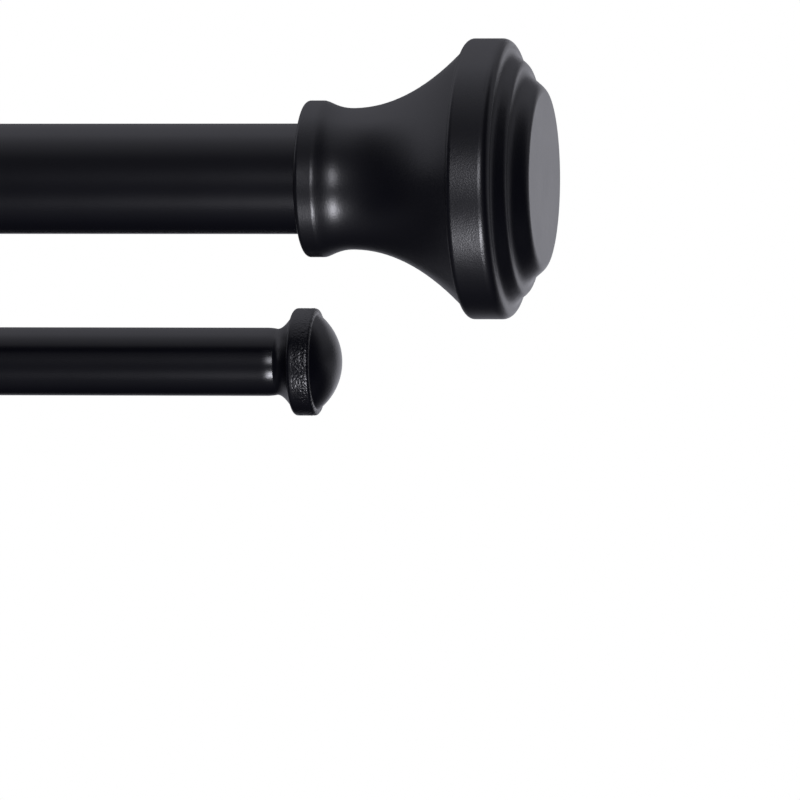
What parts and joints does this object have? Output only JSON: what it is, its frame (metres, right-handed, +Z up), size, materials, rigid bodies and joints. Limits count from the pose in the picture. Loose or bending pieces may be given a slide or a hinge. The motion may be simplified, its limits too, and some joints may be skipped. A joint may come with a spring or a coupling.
{
  "type": "double curtain rod",
  "caption": "Telescoping double curtain rod: thick front rod with trumpet finials that end in a stepped disc, thin back rod with domed end caps, and double wall brackets.",
  "frame": {"origin": "middle of the four wall screw holes, on the wall plane", "axes": "+X along the rods towards the outer tubes' finial and cap, +Y into the wall, +Z up"},
  "size_m": [0.781, 0.1562, 0.092],
  "materials": {
    "rod_paint": "satin black powder coat",
    "finial_paint": "satin black paint on cast resin",
    "cap_plastic": "moulded black plastic, slightly pitted rim",
    "slide_plastic": "moulded dark plastic",
    "plug_plastic": "moulded dark plastic",
    "stud_steel": "zinc plated steel",
    "insert_brass": "turned brass",
    "bracket_paint": "satin black powder coat",
    "screw_black": "black oxide steel"
  },
  "bodies": {
    "wall_frame": {"front_outer_tube": "rod_paint", "front_mouth_bush": "slide_plastic", "front_right_plug": "plug_plastic", "front_right_stud": "stud_steel", "back_outer_tube": "rod_paint", "back_mouth_bush": "slide_plastic", "back_right_cap": "cap_plastic", "right_wall_plate": "bracket_paint", "right_arm": "bracket_paint", "right_back_hook": "bracket_paint", "right_rivets": "bracket_paint", "left_wall_plate": "bracket_paint", "left_arm": "bracket_paint", "left_back_hook": "bracket_paint", "left_rivets": "bracket_paint"},
    "front_inner_rod": {"front_inner_tube": "rod_paint", "front_guide_sleeve": "slide_plastic", "front_left_plug": "plug_plastic", "front_left_stud": "stud_steel"},
    "back_inner_rod": {"back_inner_tube": "rod_paint", "back_guide_sleeve": "slide_plastic", "back_left_cap": "cap_plastic"},
    "right_finial": {"front_right_finial": "finial_paint", "front_right_insert": "insert_brass"},
    "left_finial": {"front_left_finial": "finial_paint", "front_left_insert": "insert_brass"},
    "right_front_thumbscrew": {"right_front_screw": "screw_black"},
    "right_back_thumbscrew": {"right_back_screw": "screw_black"},
    "left_front_thumbscrew": {"left_front_screw": "screw_black"},
    "left_back_thumbscrew": {"left_back_screw": "screw_black"}
  },
  "joints": [
    {"name": "front_rod_extend", "type": "slide", "parent": "wall_frame", "child": "front_inner_rod", "axis": [-1, 0, 0], "range_m": [0, 0.508]},
    {"name": "back_rod_extend", "type": "slide", "parent": "wall_frame", "child": "back_inner_rod", "axis": [-1, 0, 0], "range_m": [0, 0.508]},
    {"name": "right_finial_unscrew", "type": "hinge", "parent": "wall_frame", "child": "right_finial", "pos_m": [0.357, -0.124, 0.005], "axis": [1, 0, 0], "range_deg": [0, 4320]},
    {"name": "left_finial_unscrew", "type": "hinge", "parent": "front_inner_rod", "child": "left_finial", "pos_m": [-0.357, -0.124, 0.005], "axis": [-1, 0, 0], "range_deg": [0, 4320]},
    {"name": "right_front_screw_loosen", "type": "hinge", "parent": "wall_frame", "child": "right_front_thumbscrew", "pos_m": [0.205, -0.1375, 0.005], "axis": [0, -1, 0], "range_deg": [0, 810]},
    {"name": "right_back_screw_loosen", "type": "hinge", "parent": "wall_frame", "child": "right_back_thumbscrew", "pos_m": [0.205, -0.073, -0.025], "axis": [0, -1, 0], "range_deg": [0, 810]},
    {"name": "left_front_screw_loosen", "type": "hinge", "parent": "wall_frame", "child": "left_front_thumbscrew", "pos_m": [-0.205, -0.1375, 0.005], "axis": [0, -1, 0], "range_deg": [0, 810]},
    {"name": "left_back_screw_loosen", "type": "hinge", "parent": "wall_frame", "child": "left_back_thumbscrew", "pos_m": [-0.205, -0.073, -0.025], "axis": [0, -1, 0], "range_deg": [0, 810]}
  ]
}
